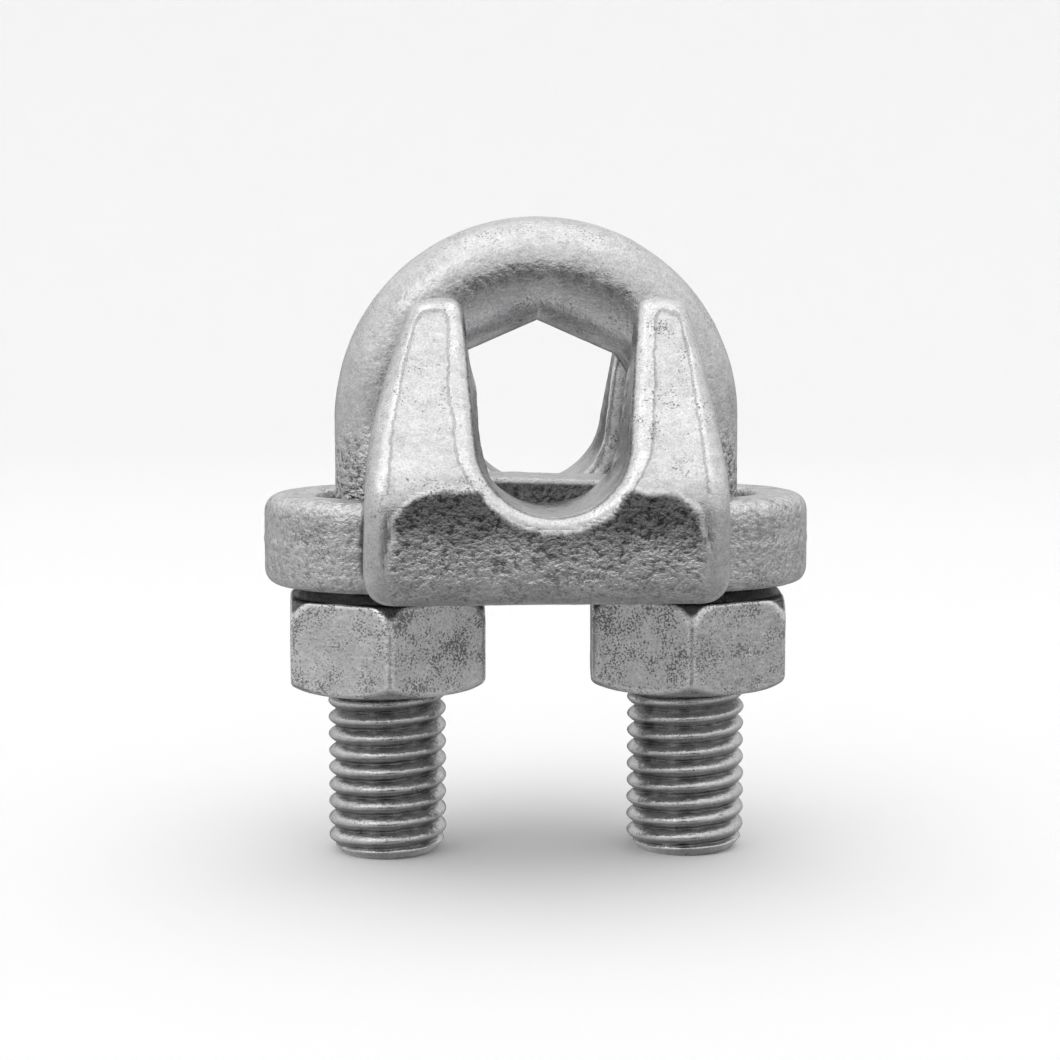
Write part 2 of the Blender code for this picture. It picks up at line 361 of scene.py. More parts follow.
def block_half_width(z):
    """Half the saddle's width across the rope: upright at the base, curving in to the tips."""
    share = np.clip((z - FACE_TOP) / (HORN_TOP - FACE_TOP), 0, 1)
    base = np.clip((z - SADDLE_BOTTOM) / (FACE_TOP - SADDLE_BOTTOM), 0, 1)
    upright = BASE_HALF_WIDTH + (SHOULDER_HALF_WIDTH - BASE_HALF_WIDTH) * base
    return upright - (SHOULDER_HALF_WIDTH - TIP_HALF_WIDTH) * share**HORN_SIDE_CURVE


def leaning_face(y, z):
    """Distance outside the plane that the horns' outer faces lie in."""
    return (np.abs(y) - HALF_LENGTH) * math.cos(LEAN) + (z - FACE_TOP) * math.sin(LEAN)


def horn_shift(z):
    """How far the horns stand to the right at a height: this forging isn't quite even."""
    return HORN_SHIFT * ramp(z, HORN_SHIFT_FROM, HORN_SHIFT_TO)


def in_from_side(x, z):
    """Distance inside the saddle's outer side."""
    return block_half_width(z) - np.abs(x - horn_shift(z))


def groove(x, z):
    """Distance outside the rope's groove: half round below, opening a little towards the tips."""
    ax = np.abs(x - GROOVE_X - GROOVE_SHIFT * horn_shift(z))
    share = (z - SEAT_Z) / (HORN_TOP - SEAT_Z)
    walls = ax - GROOVE_R - (GROOVE_TOP_HALF - GROOVE_R) * share
    return np.where(z < SEAT_Z, np.hypot(ax, z - SEAT_Z) - GROOVE_R, walls)


def end_draft(z):
    """How far the end faces draw in below their upper half, as a forging leaves its die."""
    return DRAFT * np.maximum(DRAFT_TOP - z, 0) ** 2


def bridge(x, y, z):
    """Distance outside the low bridge across the seat, under the bow, that the rope is pressed on."""
    along = np.abs(y + BRIDGE_SLANT * x) - BRIDGE_HALF_LENGTH - BRIDGE_DRAFT * (BRIDGE_TOP - z)
    across = np.abs(x - GROOVE_X) - BRIDGE_HALF_WIDTH
    block = smooth_max(along, across, BRIDGE_SIDE_EDGE)
    block = smooth_max(block, z - BRIDGE_TOP, BRIDGE_TOP_EDGE)
    return smooth_max(block, BRIDGE_FOOT - z, BRIDGE_FOOT_EDGE)


def saddle_solid(x, y, z):
    """Distance outside the whole saddle."""
    ax, ay = np.abs(x), np.abs(y)
    outline = smooth_max(-in_from_side(x, z), SADDLE_BOTTOM - z, BASE_EDGE)
    ends = smooth_max(ay - HALF_LENGTH + end_draft(z), leaning_face(y, z), END_EDGE)
    block = smooth_max(outline, ends, SIDE_EDGE)
    block = smooth_max(block, z - HORN_TOP, TIP_EDGE)
    bow_gap = smooth_max(ay - HORN_GAP, GAP_FLOOR - z, GAP_CORNER)
    block = smooth_max(block, -bow_gap, GAP_EDGE)
    plan = np.hypot(np.maximum(ax - LEG_X, 0), y) - EAR_R
    ears = smooth_max(plan, z - EAR_TOP, EAR_TOP_EDGE)
    ears = smooth_max(ears, SADDLE_BOTTOM - z, EAR_BOTTOM_EDGE)
    body = smooth_min(block, ears, EAR_CORNER)
    body = smooth_max(body, SADDLE_BOTTOM - z, BOTTOM_EDGE)
    body = smooth_max(body, -groove(x, z), GROOVE_EDGE)
    body = smooth_min(body, bridge(x, y, z), BRIDGE_CORNER)
    hole = np.hypot(ax - LEG_X, y) - HOLE_R
    return smooth_max(body, -hole, HOLE_EDGE)


def seat_relief(x, y, z):
    """The rope's lay pressed into the seat's walls, and the rough skin on its bridge.

    Gives how far the lay stands off the groove, how sheltered each place is (the lay's valleys and the
    bridge's flanks, where shade is painted), and where it is worn.
    """
    depth = np.minimum(HALF_LENGTH - np.abs(y), -leaning_face(y, z))
    inside = bump_line(groove(x, z), 0, 0.7) * ramp(depth, 1.5, 4.5)
    on_wall = inside * ramp(z, BRIDGE_TOP + 0.3, BRIDGE_TOP + 3) * ramp(HORN_TOP - z, 6, 12)
    crest = 0.5 + 0.5 * np.cos(2 * math.pi * (y - LAY_Y) / LAY_SPACING)
    on_bridge = ramp(0.5 - np.abs(bridge(x, y, z)), 0, 0.4)
    flank = on_bridge * ramp(BRIDGE_TOP - 0.25 - z, 0, 0.5)
    rim = bump_line(np.abs(y + BRIDGE_SLANT * x), BRIDGE_HALF_LENGTH - 0.4, 0.9)
    worn_rim = on_bridge * rim * ramp(z, BRIDGE_TOP - 0.4, BRIDGE_TOP)
    worn_lay = on_wall * ramp(crest, 0.80, 0.97)
    sheltered = np.maximum(flank, 0.8 * on_wall * (1 - ramp(crest, 0.25, 0.6)))
    return on_wall * (LAY_HEIGHT * crest**4 - LAY_SINK), sheltered, np.maximum(worn_rim, worn_lay)


def panel_edge(points):
    """Distance inside the flat panel on a horn's leaning face, from the uneven rim round it."""
    x, _, z = points.T
    inner = groove(x, z) - (PANEL_LIP + 1.2 * ramp(z, 48, 60) - 0.5 * ramp(z, 63, 74))
    outer = in_from_side(x, z) - (PANEL_RIM - 1.4 * ramp(z, 52, 75))
    even = smooth_min(smooth_min(inner, outer, 0.6), PANEL_TOP - z, 1.6)
    return even + 0.22 * value_noise(points, 3.6, seed=16) + 0.10 * value_noise(points, 1.2, seed=17)


def forged_patch(points, ragged):
    """1 on the coarse patch that fills an end face, 0 off it. ragged breaks up its outline."""
    x, y, z = points.T
    at_end = ramp(np.abs(y) + end_draft(z), HALF_LENGTH - 2.5, HALF_LENGTH - 0.5)
    rim = 3.4 - 0.9 * ramp(DRAFT_TOP - z, 0, 3)
    patch = smooth_min(in_from_side(x, z) - rim, FACE_TOP + 0.4 - z, 5.0) + ragged
    return at_end * ramp(patch, 0, 1.3) * ramp(groove(x, z) + 0.6 * ragged, 1.5, 2.1)


def saddle_skin(points, normals):
    """How far the forged skin stands off the plain solid, and numbers for its material."""
    x, y, z = points.T
    drawn = points * [0.7, 1, 1]
    ragged = 0.5 * fractal(points, 2.5, octaves=2, seed=19)
    rough = forged_patch(points, ragged)
    upper = ramp(z, SADDLE_BOTTOM + 3, DRAFT_TOP)
    coarse = fractal(drawn, 2.0, octaves=3, seed=11)
    pits = ramp(value_noise(drawn, 1.2, seed=15), 0.2, 0.7)
    skin = SADDLE_WAVE * value_noise(points, 9.0, seed=20)
    skin += SADDLE_DIMPLE * fractal(points, 2.4, octaves=2, seed=21)
    skin += rough * (0.35 + 0.65 * upper) * (CRUST_DEPTH * coarse - PIT_DEPTH * pits)

    seam = panel_edge(points)
    leaning = ramp(-np.abs(leaning_face(y, z)), -1.6, -0.6) * ramp(z, FACE_TOP - 1, FACE_TOP + 3)
    skin -= leaning * PANEL_DEPTH * ramp(seam, -0.4, 0.5)
    skin += leaning * PANEL_DIMPLE * value_noise(points, 1.4, seed=22)

    on_ear = ramp(np.abs(x), BASE_HALF_WIDTH - 1, BASE_HALF_WIDTH + 1)
    on_rim = on_ear * ramp(0.5 - np.abs(normals[:, 2]), 0, 0.3)
    skin += PARTING_HEIGHT * on_rim * bump_line(z, PARTING_Z, 0.4)
    scratched = ramp(value_noise(points * [1, 1, 3], 1.6, seed=24), 0.15, 0.55)
    scratched = on_rim * bump_line(z + 0.5 * ragged, PARTING_Z, 0.3) * scratched

    lay, sheltered, worn_seat = seat_relief(x, y, z)
    grains = value_noise(points, 0.9, seed=18)
    skin += lay + SEAT_GRAIN * (sheltered + worn_seat) * grains

    crusted = rough * (0.45 + 0.55 * ramp(z, 38, 46))
    return skin, {
        "rough": np.maximum.reduce([crusted, 0.8 * sheltered, 0.45 * on_ear]),
        "seam": np.where(leaning > 0.02, seam, 3.0),
        # painted shade in the seat's sheltered places, and a painted dark reflection over the upper end
        # faces
        "painted_shade": 0.95 * np.maximum(sheltered, rough * ramp(z + 2 * ragged, 40, 50)),
        "scratch": scratched + worn_seat * ramp(grains, -0.2, 0.4),
    }


def make_saddle():
    points, faces = net_of(saddle_solid, SADDLE_LOW, SADDLE_HIGH, SADDLE_STEP)
    points, normals = settled(saddle_solid, points, SADDLE_STEP)
    skin, values = saddle_skin(points, normals)
    points = points + normals * skin[:, None]
    edge = bulge(points, normals, edges_of(faces), rounds=14)
    worn = ramp(edge, 0.03, 0.20) * (1 - 0.8 * values["rough"])
    values["wear_and_highlight"] = np.maximum(worn, values.pop("scratch"))
    # Painted shade: the creases darkened, on top of the painted shade from the skin.
    values["dirt_and_painted_shade"] = np.maximum(ramp(-edge, 0.02, 0.16), values.pop("painted_shade"))
    finish = Finish(grey=0.61, roughness=0.31, speckle=0.12, grain=0.9, seams=True)
    material = zinc_material("forged_zinc", finish)
    make_piece("saddle_forging", points, faces, values, material, "saddle", "saddle")


# ---------------------------------------------------------------- nuts

NUT_STEP = 0.27
STEP_SLOPE = 1.25
SHOULDER_CURVE = 1.2
BORE_SLOPE = 0.8

# How widely the nut's edges are rounded.
HEX_CORNER = 0.7
NUT_EDGE = 0.4
NUT_BOTTOM_EDGE = 0.5
BORE_EDGE = 0.3

# How high each layer of the nut's skin is.
NUT_WAVE = 0.035
NUT_DIMPLE = 0.018


def flank(phase):
    """Radius of the leg's straight flank at a distance from the crest, in pitches."""
    return THREAD_R - (phase - CREST_HALF) * THREAD_DEPTH / (ROOT_START - CREST_HALF)


def above_crest(around, z):
    """Height above the nearest crest, in pitches, at an angle round a leg. It is negative below."""
    phase = z / PITCH - around / (2 * math.pi) - THREAD_PHASE
    return (phase + 0.5) % 1 - 0.5


def shoulder(rho, z):
    """Distance above the nut's upper end: a round face, a step down to a shoulder, rounded corners."""
    drop = np.clip((rho - NUT_TOP_FACE_R) * STEP_SLOPE, 0, NUT_SHOULDER_DROP)
    corner = np.maximum(rho - NUT_SHOULDER_R, 0)
    steep = np.hypot(1, 2 * SHOULDER_CURVE * corner)
    return (z - NUT_TOP + drop + SHOULDER_CURVE * corner**2) / steep


def hexagon(dx, y, turn):
    """Distance outside the nut's six flats, which meet in narrow rounded corners."""
    body = np.full(np.broadcast(dx, y).shape, -NUT_HALF_FLATS)
    for step in range(3):
        angle = turn + step * math.pi / 3
        pair = np.abs(dx * math.cos(angle) + y * math.sin(angle)) - NUT_HALF_FLATS
        body = smooth_max(body, pair, HEX_CORNER)
    return body


def lower_cone(rho, z):
    """Distance outside the cone that chamfers the nut's lower end."""
    below = (NUT_BOTTOM - z) * math.cos(NUT_BOTTOM_CHAMFER)
    return below + (rho - NUT_BOTTOM_FACE_R) * math.sin(NUT_BOTTOM_CHAMFER)


def nut_solid(side, turn):
    """The distance formula of one nut."""

    def solid(x, y, z):
        dx = x - side * LEG_X
        rho = np.hypot(dx, y)
        body = hexagon(dx, y, turn)
        body = smooth_max(body, shoulder(rho, z), NUT_EDGE)
        body = smooth_max(body, lower_cone(rho, z), NUT_EDGE)
        body = smooth_max(body, NUT_BOTTOM - z, NUT_BOTTOM_EDGE)
        wall = flank(np.abs(above_crest(np.arctan2(y, dx), z))) + NUT_THREAD_GAP
        bore = np.clip(wall, NUT_BORE_R, NUT_ROOT_R)
        mouth = np.minimum(z - NUT_BOTTOM, NUT_TOP - z)
        bore = np.maximum(bore, NUT_MOUTH_R - mouth)
        return smooth_max(body, (bore - rho) * BORE_SLOPE, BORE_EDGE)

    return solid


def nut_values(points, edge, side, turn):
    """Numbers for a nut's material: worn edges, painted highlights along the arcs where the flats end,
    painted shadow on the upper shoulder that lies under the saddle, painted shade in creases, and the
    lower chamfer a little darker.
    """
    dx, y, z = points[:, 0] - side * LEG_X, points[:, 1], points[:, 2]
    rho = np.hypot(dx, y)
    from_flats = hexagon(dx, y, turn)
    from_shoulder = shoulder(rho, z)
    from_cone = lower_cone(rho, z)
    arc_highlight = ramp(from_flats, -0.32, -0.12) * ramp(from_shoulder, -0.36, -0.14)
    lower_arc_highlight = ramp(from_flats, -0.30, -0.12) * ramp(from_cone, -0.30, -0.12)
    off_flats = ramp(-from_flats, 0.12, 0.35)
    on_shoulder = ramp(from_shoulder, -0.30, -0.10) * off_flats
    on_cone = ramp(from_cone, -0.30, -0.10) * off_flats
    worn = ramp(edge, 0.01, 0.06) * (1 - on_shoulder)
    painted_shade = ramp(-edge, 0.02, 0.09)
    # painted highlights on the arcs, painted shadow on the shoulder under the saddle, painted shade in
    # creases
    return {
        "rough": np.full(len(points), 0.15),
        "wear_and_highlight": np.maximum.reduce([worn, arc_highlight, 0.7 * lower_arc_highlight]),
        "dirt_and_painted_shade": np.maximum.reduce([painted_shade, on_shoulder, 0.35 * on_cone]),
    }


def make_nut(name, side, turn, grey, seed):
    solid = nut_solid(side, turn)
    low, high = box_mm(name)
    points, faces = net_of(solid, low, high, NUT_STEP)
    points, normals = settled(solid, points, NUT_STEP)
    skin = NUT_WAVE * value_noise(points, 5.0, seed)
    skin += NUT_DIMPLE * fractal(points, 1.6, octaves=2, seed=seed + 1)
    points = points + normals * skin[:, None]
    edge = bulge(points, normals, edges_of(faces), rounds=8)
    values = nut_values(points, edge, side, turn)
    finish = Finish(grey, roughness=0.38, speckle=0.8, grain=0.5)
    material = zinc_material(f"{name}_zinc", finish)
    make_piece(f"{name}_hex", points, faces, values, material, name, name)


# ---------------------------------------------------------------- U-bolt

BOLT_AROUND = 96
THREAD_ROW = PITCH / 14
BAR_ROW = 0.45
CREST_ROUNDNESS = 0.95
ROOT_HALF = 0.47
TIP_SLOPE = 0.9
BOW_PEAK_DROP = 0.2
BOW_FLAT_SLOPE = 0.44
BOW_FLAT_FADE = 1.5

# How high or deep each layer of the bar's skin is.
BAR_WAVE = 0.05
BAR_DIMPLE = 0.02
THREAD_DIMPLE = 0.02
SHANK_PIT_DEPTH = 0.10


def leg_radius(around, z):
    """Radius of a leg: chamfered end, rolled thread with rounded crests, run-out into the bar."""
    crest = np.minimum(np.abs(above_crest(around, z)), ROOT_HALF)
    fall = 1 - np.cos(math.pi * crest) ** CREST_ROUNDNESS
    radius = THREAD_R - THREAD_DEPTH * fall
    radius += (BAR_R - radius) * ramp(z, THREAD_TOP, THREAD_TOP + RUN_OUT)
    return np.minimum(radius, TIP_R + TIP_SLOPE * z)


def leg_heights():
    """Row heights up a leg: fine on the thread, coarser on the plain bar."""
    fine_top = THREAD_TOP + RUN_OUT
    fine = np.linspace(0, fine_top, round(fine_top / THREAD_ROW) + 1)
    plain = np.linspace(fine_top, BOW_Z, round((BOW_Z - fine_top) / BAR_ROW) + 1)
    return np.concatenate([fine, plain[1:]])


def leg_rings(around, side):
    """Rings of vertices up one leg. The legs mirror each other, but both threads are right-hand."""
    angle, z = np.meshgrid(around, leg_heights())
    radius = leg_radius(angle if side < 0 else math.pi - angle, z)
    return np.stack([side * (LEG_X - radius * np.cos(angle)), radius * np.sin(angle), z], axis=2)


def bow_rings(around):
    """Rings of vertices over the bow, between the legs.

    The bow's inner side isn't quite round: it is drawn flat on either side of a shallow peak.
    """
    turns = np.linspace(0, math.pi, round(math.pi * LEG_X / BAR_ROW) + 1)[1:-1]
    angle, turn = np.meshgrid(around, turns)
    inner = LEG_X - BAR_R
    flat = (inner - BOW_PEAK_DROP) / (np.sin(turn) + BOW_FLAT_SLOPE * np.abs(np.cos(turn)))
    thicker = np.maximum(inner - flat, 0) * np.maximum(np.cos(angle), 0) ** BOW_FLAT_FADE
    reach = LEG_X - BAR_R * np.cos(angle) - thicker
    x, z = -reach * np.cos(turn), BOW_Z + reach * np.sin(turn)
    return np.stack([x, BAR_R * np.sin(angle), z], axis=2)


def bolt_rings():
    """Rings of vertices from the left leg's end, over the bow, to the right leg's end."""
    around = 2 * math.pi * np.arange(BOLT_AROUND) / BOLT_AROUND
    return np.concatenate([leg_rings(around, -1), bow_rings(around), leg_rings(around, 1)[::-1]])


def tube_faces(rings):
    """Quads between the rings of a tube."""
    here = np.arange(rings * BOLT_AROUND).reshape(rings, BOLT_AROUND)
    after = np.roll(here, -1, axis=1)
    return np.stack([here[:-1], after[:-1], after[1:], here[1:]], axis=2).reshape(-1, 4)


def bolt_skin(points, on_thread, pits):
    """How far the bar's skin stands off the plain tube. It fades out at the legs' ends."""
    skin = BAR_WAVE * value_noise(points, 6.0, seed=30)
    skin += BAR_DIMPLE * fractal(points, 1.7, octaves=2, seed=31)
    skin -= SHANK_PIT_DEPTH * pits
    skin += on_thread * THREAD_DIMPLE * value_noise(points, 1.1, seed=33)
    return skin * ramp(points[:, 2], 0, 0.6)


def thread_marks(points, edge):
    """Painted light on the thread: worn crests, brightened on their upper sides only as a painted
    highlight, and a painted reflection along the root; painted shade below each crest and in creases,
    and an even darkening over the whole thread.
    """
    x, y, z = points.T
    above = above_crest(np.arctan2(y, x - np.sign(x) * LEG_X), z)
    under = ramp(-above, 0.02, 0.22)
    root_line = bump_line(above, -0.44, 0.035) * ramp(value_noise(points, 2.2, seed=35), -0.5, 0.3)
    # painted highlight on the crests' upper sides and along the root; painted shade below the crests
    # and in creases
    wear_and_highlight = np.maximum(0.7 * ramp(edge, 0.03, 0.22) * (1 - under), 0.5 * root_line)
    dirt_and_painted_shade = (1 - 0.7 * root_line) * np.maximum(ramp(-edge, 0, 0.14), 0.25 + 0.4 * under)
    return wear_and_highlight, dirt_and_painted_shade


def bow_inner_painted_shade(points, normals):
    """Blotchy painted shade on the bow's inner side, which faces down towards the saddle."""
    inward = BOW_Z * normals[:, 2] - (points * normals)[:, [0, 2]].sum(axis=1)
    blotch = ramp(fractal(points, 3.0, octaves=2, seed=34), -0.6, 0.6)
    return ramp(inward / LEG_X, 0.2, 0.7) * (0.15 + 0.4 * blotch)


def make_u_bolt():
    rings = bolt_rings()
    points = rings.reshape(-1, 3)
    faces = tube_faces(len(rings))
    normals = vertex_normals(points, faces)
    z = points[:, 2]
    on_thread = ramp(THREAD_TOP + RUN_OUT - z, 0, 1)
    on_shank = (1 - on_thread) * ramp(BOW_Z + 2 - z, 0, 8)
    on_bow = ramp(z - BOW_Z, 0, 4)
    pits = on_shank * ramp(value_noise(points, 0.9, seed=32), 0.45, 0.8)
    points = points + normals * bolt_skin(points, on_thread, pits)[:, None]
    edge = bulge(points, normals, edges_of(faces), rounds=12)
    thread_wear_and_highlight, thread_painted_shade = thread_marks(points, edge)
    # Painted highlights and shade on the thread, painted shade on the bow's inner side, and the shank's
    # pits darker.
    values = {
        "rough": 0.10 + 0.75 * on_shank,
        "wear_and_highlight": on_thread * thread_wear_and_highlight,
        "dirt_and_painted_shade": on_thread * thread_painted_shade + 0.45 * pits + on_bow * bow_inner_painted_shade(points, normals),
    }
    last = len(points)
    caps = [tuple(range(BOLT_AROUND))[::-1], tuple(range(last - BOLT_AROUND, last))]
    all_faces = [tuple(face) for face in faces.tolist()] + caps
    material = zinc_material("bar_zinc", Finish(grey=0.62, roughness=0.30, speckle=0.0, grain=0.6))
    make_piece("u_bolt_bar", points, all_faces, values, material, "u_bolt", "u_bolt")


# ---------------------------------------------------------------- materials

ZINC_TINT = (1.0, 1.0, 1.01)
SPECK_START = 1.02
SPECK_SPREAD = 0.16
# How much worn edges and painted highlights lighten the grey.
WEAR_AND_HIGHLIGHT_LIFT = 0.22
SCRATCH_LIGHT = 0.06
SEAM_DARK = 0.70
BUMP_STRENGTH = 0.8

# How high or deep the finest relief is, in millimetres.
MOTTLE_RELIEF = 0.11
FLECK_RELIEF = 0.045
GRAIN_RELIEF = 0.012
SPECK_SINK = 0.05
CRUST_RELIEF = 1.15
SEAM_SINK = 0.06

# Noises that shift the grey: name, the stretch of its values that counts, and the shift over it.
MOTTLES = [
    ("cloud", 0.3, 0.7, 0.05),
    ("mottle", 0.3, 0.7, 0.06),
    ("fleck", 0.25, 0.75, -0.09),
    ("grain", 0.3, 0.7, 0.05),
]

# What darkens the grey, and the share of it that is left in full dirt and painted shade, specks or
# pits.
DARKENERS = [("dirt_and_painted_shade", 0.22), ("speck", 0.55), ("pit", 0.38)]


class Finish:
    """How one piece's zinc coat looks."""

    def __init__(self, grey, roughness, speckle, grain, seams=False):
        self.grey = grey
        self.roughness = roughness
        self.speckle = speckle
        self.grain = grain
        self.seams = seams


class Graph:
    """Adds and links shader nodes in one material or world."""

    def __init__(self, owner):
        owner.use_nodes = True
        self.tree = owner.node_tree
        self.tree.nodes.clear()

    def node(self, kind, settings=None, **inputs):
        """A node of this kind. An input may be a value or another node's output."""
        made = self.tree.nodes.new(kind)
        for key, value in (settings or {}).items():
            setattr(made, key, value)
        for key, value in inputs.items():
            self.feed(made.inputs[key.replace("_", " ")], value)
        return made

    def feed(self, socket, value):
        """Sets a socket to a value, or links it to another node's output."""
        if isinstance(value, bpy.types.NodeSocket):
            self.tree.links.new(value, socket)
        else:
            socket.default_value = value

    def math(self, operation, first, second=0.0, third=0.0, clamp=False):
        """A sum on values or outputs. MULTIPLY_ADD is first * second + third."""
        made = self.tree.nodes.new("ShaderNodeMath")
        made.operation = operation
        made.use_clamp = clamp
        for socket, value in zip(made.inputs, (first, second, third)):
            self.feed(socket, value)
        return made.outputs[0]

    def stretched(self, place, factors):
        """The place with its axes scaled, so that a noise on it is drawn out along some of them."""
        made = self.node("ShaderNodeVectorMath", {"operation": "MULTIPLY"})
        self.feed(made.inputs[0], place)
        made.inputs[1].default_value = factors
        return made.outputs[0]

    def between(self, value, start, end, low=0.0, high=1.0):
        """value brought from start..end to low..high, smoothly and clamped."""
        made = self.node(
            "ShaderNodeMapRange",
            {"interpolation_type": "SMOOTHSTEP"},
            From_Min=start,
            From_Max=end,
            To_Min=low,
            To_Max=high,
        )
        self.feed(made.inputs["Value"], value)
        return made.outputs["Result"]

    def noise(self, place, scale, detail, roughness):
        """Smooth noise from 0 to 1, mostly near a half."""
        made = self.node(
            "ShaderNodeTexNoise", Vector=place, Scale=scale, Detail=detail, Roughness=roughness
        )
        return made.outputs[0]

    def attribute(self, name):
        """One of the numbers that make_piece stores at the vertices."""
        return self.node("ShaderNodeAttribute", {"attribute_name": name}).outputs["Fac"]


def zinc_fields(graph, finish):
    """Everything that the coat's colour and relief depend on, by name.

    rough, the wear with painted highlights, and the grime with painted shade are numbers at the piece's
    vertices. The noises' scales are in waves for each millimetre.
    """
    spot = graph.node("ShaderNodeTexCoord").outputs["Object"]
    scaled = graph.node("ShaderNodeVectorMath", {"operation": "SCALE"}, Scale=1 / MM)
    graph.feed(scaled.inputs[0], spot)
    place = scaled.outputs[0]
    fields = {name: graph.attribute(name) for name in ("rough", "wear_and_highlight", "dirt_and_painted_shade")}
    fields["cloud"] = graph.noise(place, scale=0.16, detail=3.0, roughness=0.6)
    dense = graph.noise(place, scale=0.26, detail=2.0, roughness=0.55)
    fields["mottle"] = graph.noise(place, scale=0.85, detail=3.0, roughness=0.6)
    fleck = fields["fleck"] = graph.noise(place, scale=3.5, detail=2.0, roughness=0.6)
    fields["grain"] = graph.noise(place, scale=6.0, detail=2.0, roughness=0.6)
    drawn = graph.stretched(place, (0.8, 1.0, 1.0))
    crust = fields["crust"] = graph.noise(drawn, scale=1.3, detail=3.0, roughness=0.55)
    drawn = graph.stretched(place, (0.5, 0.5, 3.2))
    fields["scratch"] = graph.noise(drawn, scale=0.9, detail=3.0, roughness=0.65)

    speck = graph.math("MULTIPLY_ADD", dense, 0.70, fleck)
    speck = graph.math("MULTIPLY_ADD", fields["rough"], 0.05, speck)
    start = SPECK_START - SPECK_SPREAD * finish.speckle
    fields["speck"] = graph.between(speck, start, start + SPECK_SPREAD)
    fields["pit"] = graph.math("MULTIPLY", graph.between(crust, 0.46, 0.38), fields["rough"])
    return fields


def zinc_tone(graph, finish, fields):
    """The coat's grey: mottled, brighter where it is worn and where highlights are painted, darker in
    grime, painted shade, specks and pits.
    """
    tone = finish.grey
    for name, low, high, change in MOTTLES:
        tone = graph.math("ADD", tone, graph.between(fields[name], low, high, -change, change))
    tone = graph.math("ADD", tone, graph.between(fields["scratch"], 0.55, 0.72, 0.0, SCRATCH_LIGHT))
    tone = graph.math("MULTIPLY_ADD", fields["wear_and_highlight"], WEAR_AND_HIGHLIGHT_LIFT, tone)
    for name, factor in DARKENERS:
        tone = graph.math("MULTIPLY", tone, graph.between(fields[name], 0.0, 1.0, 1.0, factor))
    return tone


def zinc_relief(graph, finish, fields):
    """The coat's fine relief, in millimetres."""
    relief = graph.math("MULTIPLY", fields["mottle"], MOTTLE_RELIEF)
    relief = graph.math("MULTIPLY_ADD", fields["fleck"], FLECK_RELIEF * finish.grain, relief)
    relief = graph.math("MULTIPLY_ADD", fields["grain"], GRAIN_RELIEF * finish.grain, relief)
    relief = graph.math("MULTIPLY_ADD", fields["speck"], -SPECK_SINK, relief)
    crust = graph.math("MULTIPLY", fields["crust"], fields["rough"])
    return graph.math("MULTIPLY_ADD", crust, CRUST_RELIEF, relief)


def add_seams(graph, fields, tone, relief):
    """The tone and relief with a dark, wavering line sunk along the edge of each leaning panel."""
    line = graph.math("MULTIPLY_ADD", fields["fleck"], 0.5, graph.attribute("seam"))
    line = graph.math("MULTIPLY_ADD", fields["mottle"], 0.6, line)
    line = graph.math("ABSOLUTE", graph.math("SUBTRACT", line, 0.55))
    line = graph.between(line, 0.28, 0.04)
    tone = graph.math("MULTIPLY", tone, graph.between(line, 0.0, 1.0, 1.0, SEAM_DARK))
    return tone, graph.math("MULTIPLY_ADD", line, -SEAM_SINK, relief)


def zinc_material(name, finish):
    """Zinc-coated steel: mottled grey, dark specks and pits, brighter worn edges, painted highlights
    and painted shade, fine grain.
    """
    material = bpy.data.materials.new(name)
    graph = Graph(material)
    fields = zinc_fields(graph, finish)
    tone = zinc_tone(graph, finish, fields)
    relief = zinc_relief(graph, finish, fields)
    if finish.seams:
        tone, relief = add_seams(graph, fields, tone, relief)
    colour = graph.node("ShaderNodeCombineColor")
    for channel, tint in zip(colour.inputs, ZINC_TINT):
        graph.feed(channel, graph.math("MULTIPLY", tone, tint, clamp=True))

    dull = graph.math("MULTIPLY_ADD", fields["rough"], 0.12, finish.roughness)
    dull = graph.math("MULTIPLY_ADD", fields["wear_and_highlight"], -0.08, dull)
    dull = graph.math("ADD", dull, graph.between(fields["mottle"], 0.25, 0.75, -0.05, 0.05))
    dull = graph.math("MULTIPLY_ADD", fields["speck"], 0.25, dull, clamp=True)
    bump = graph.node("ShaderNodeBump", Strength=BUMP_STRENGTH, Distance=MM, Height=relief)
    surface = graph.node(
        "ShaderNodeBsdfPrincipled",
        Base_Color=colour.outputs[0],
        Roughness=dull,
        Metallic=1.0,
        Normal=bump.outputs[0],
    )
    graph.node("ShaderNodeOutputMaterial", Surface=surface.outputs[0])
    return material


# ---------------------------------------------------------------- studio, in metres

CAMERA_PLACE = Vector((-17.3, -322.0, 79.2)) * MM
CAMERA_AIM = Vector((-0.9, 0.0, 43.6)) * MM
FOCAL_MM = 81.65
SENSOR_MM = 36.0
NEAREST = 10 * MM
STAGE_R = 1.1
STAGE_STEPS = 96
COVE_R = 0.35
COVE_STEPS = 15
STAGE_TOP = 0.9
PAPER = (0.95, 0.95, 0.95, 1.0)
LIGHT_AIM = Vector((0, 0, 45)) * MM


def make_camera():
    """A long lens in front of the object, a little to the left and above it."""
    data = bpy.data.cameras.new("camera")
    data.lens = FOCAL_MM
    data.sensor_width = SENSOR_MM
    data.clip_start = NEAREST
    camera = bpy.data.objects.new("camera", data)
    camera.location = CAMERA_PLACE
    camera.rotation_euler = (CAMERA_AIM - CAMERA_PLACE).to_track_quat("-Z", "Y").to_euler()
    bpy.context.scene.collection.objects.link(camera)
    bpy.context.scene.camera = camera


